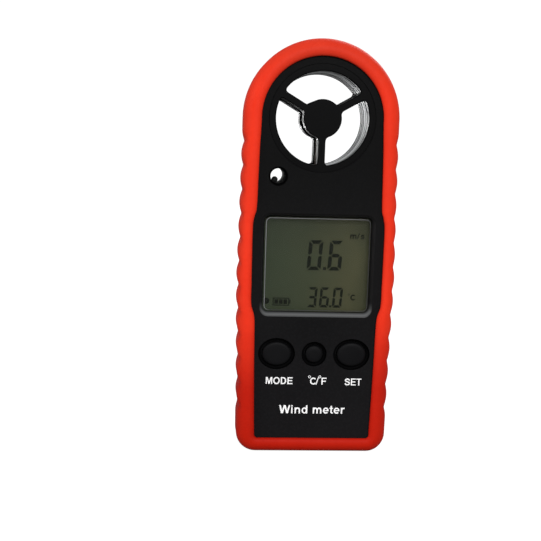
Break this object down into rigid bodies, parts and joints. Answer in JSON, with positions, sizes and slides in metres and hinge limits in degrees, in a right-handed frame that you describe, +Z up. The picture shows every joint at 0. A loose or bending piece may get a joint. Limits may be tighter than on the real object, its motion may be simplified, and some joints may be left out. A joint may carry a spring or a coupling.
{
  "type": "handheld weather meter",
  "caption": "Flat pocket vane anemometer: round head with an impeller in a through duct, display window, push keys, coin-cell door and a ribbed rubber boot.",
  "frame": {"origin": "middle of the base, where the upright meter stands", "axes": "+Z up along the body towards the impeller head, the display faces -Y, +X to the right of someone reading it"},
  "size_m": [0.0402, 0.017, 0.105],
  "materials": {
    "boot_rubber": "moulded soft rubber, satin, red orange",
    "case_plastic": "fine matte texture, black",
    "key_rubber": "matte silicone rubber, black",
    "window_glass": "clear, polished",
    "lcd_glass": "grey green display",
    "liner_plastic": "silver grey, satin",
    "clear_plastic": "clear moulded plastic",
    "steel": "plain nickel-plated steel",
    "brass": "turned",
    "board": "solder mask",
    "chip_plastic": "moulded",
    "white_plastic": "milky",
    "seal_rubber": "soft rubber",
    "ribbon_film": "amber film",
    "magnet": "dark, satin"
  },
  "bodies": {
    "root": {"rubber_boot": "boot_rubber", "front_cover": "case_plastic", "rear_cover": "case_plastic", "front_guard": "case_plastic", "rear_guard": "case_plastic", "duct_liner": "liner_plastic", "front_bearing": "brass", "rear_bearing": "brass", "hall_sensor": "chip_plastic", "sensor_ribbon": "ribbon_film", "ribbon_connector": "white_plastic", "thermistor_bead": "seal_rubber", "thermistor_lead_a": "steel", "thermistor_lead_b": "steel", "display_window": "window_glass", "lcd_panel": "lcd_glass", "lcd_frame": "case_plastic", "backlight_plate": "white_plastic", "contact_strip_upper": "seal_rubber", "contact_strip_lower": "seal_rubber", "main_board": "board", "microcontroller": "chip_plastic", "crystal_can": "steel", "supply_capacitor": "magnet", "mode_switch": "steel", "unit_switch": "steel", "set_switch": "steel", "coin_cell": "steel", "battery_contact_negative": "steel", "battery_contact_positive": "steel", "battery_door_seal": "seal_rubber", "case_screw_1": "steel", "case_screw_2": "steel", "case_screw_3": "steel", "case_screw_4": "steel"},
    "impeller_rotor": {"impeller": "clear_plastic", "impeller_shaft": "steel", "impeller_magnet": "magnet"},
    "mode_key": {"mode_button": "key_rubber", "mode_plunger": "chip_plastic"},
    "unit_key": {"unit_button": "key_rubber", "unit_plunger": "chip_plastic"},
    "set_key": {"set_button": "key_rubber", "set_plunger": "chip_plastic"},
    "battery_lid": {"battery_door": "case_plastic"}
  },
  "joints": [
    {"name": "impeller_spin", "type": "hinge", "parent": "root", "child": "impeller_rotor", "pos_m": [0, 0, 0.08545], "axis": [0, 1, 0], "continuous": true},
    {"name": "mode_press", "type": "slide", "parent": "root", "child": "mode_key", "axis": [0, 1, 0], "range_m": [0, 0.00045], "stiffness_N_per_m": 800},
    {"name": "unit_press", "type": "slide", "parent": "root", "child": "unit_key", "axis": [0, 1, 0], "range_m": [0, 0.00045], "stiffness_N_per_m": 800},
    {"name": "set_press", "type": "slide", "parent": "root", "child": "set_key", "axis": [0, 1, 0], "range_m": [0, 0.00045], "stiffness_N_per_m": 800},
    {"name": "battery_door_twist", "type": "hinge", "parent": "root", "child": "battery_lid", "pos_m": [0, 0.0065, 0.022], "axis": [0, 1, 0], "range_deg": [0, 50]}
  ]
}
